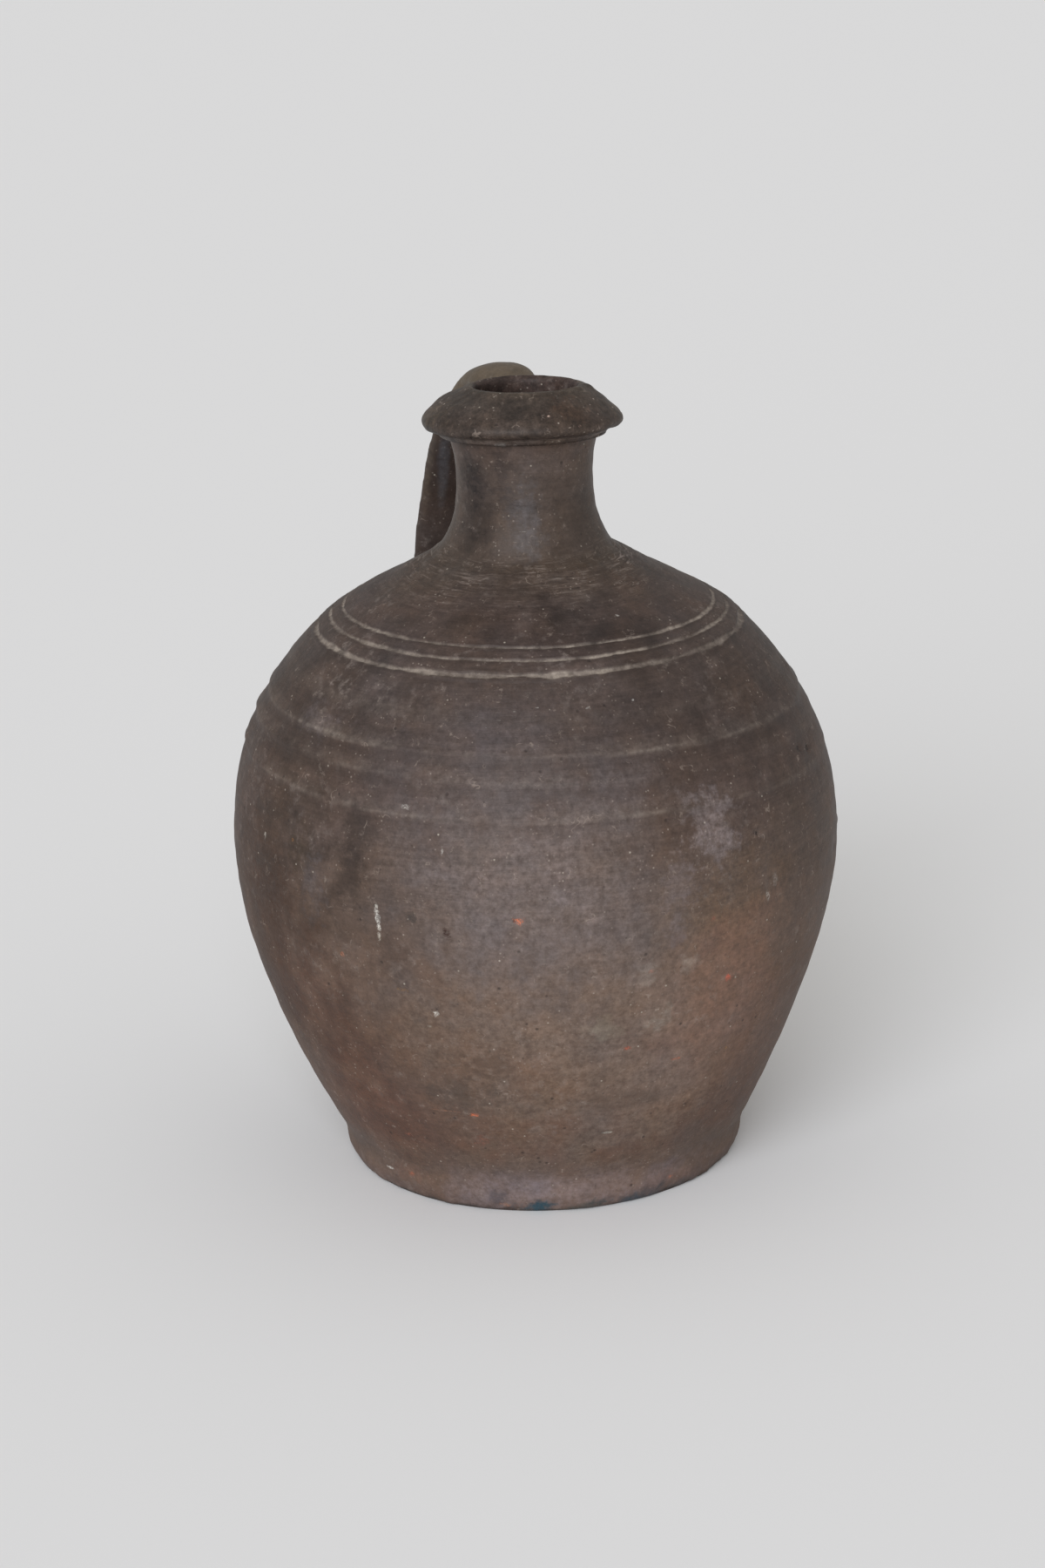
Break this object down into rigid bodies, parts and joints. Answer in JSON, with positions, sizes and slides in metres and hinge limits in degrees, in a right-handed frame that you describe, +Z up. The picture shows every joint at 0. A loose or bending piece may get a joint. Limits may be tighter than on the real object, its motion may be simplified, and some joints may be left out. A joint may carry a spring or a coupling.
{
  "type": "oil jug",
  "caption": "Unglazed round-bellied earthenware oil jug with a narrow waisted neck, sloping collar rim, grooved shoulder and one strap handle.",
  "frame": {"origin": "on the jug's axis, at the underside of the foot band", "axes": "+Z up the axis, towards the mouth; +Y towards the handle; X across the handle"},
  "size_m": [0.2326, 0.2326, 0.3026],
  "materials": {
    "foot_clay": "unglazed, worn matte, mauve brown",
    "base_clay": "unglazed, rough, reddish brown",
    "lower_clay": "unglazed, smoke-browned, matte with a soft sheen",
    "smoked_clay": "unglazed, smoke-blackened, matte with a soft sheen",
    "handle_clay": "unglazed, smoke-blackened, hand-smoothed"
  },
  "bodies": {
    "root": {"foot_band": "foot_clay", "base_slab": "base_clay", "lower_wall": "lower_clay", "upper_wall": "smoked_clay", "neck": "smoked_clay", "rim_collar": "smoked_clay", "handle_strap": "handle_clay", "handle_foot_lute": "handle_clay"}
  },
  "joints": []
}
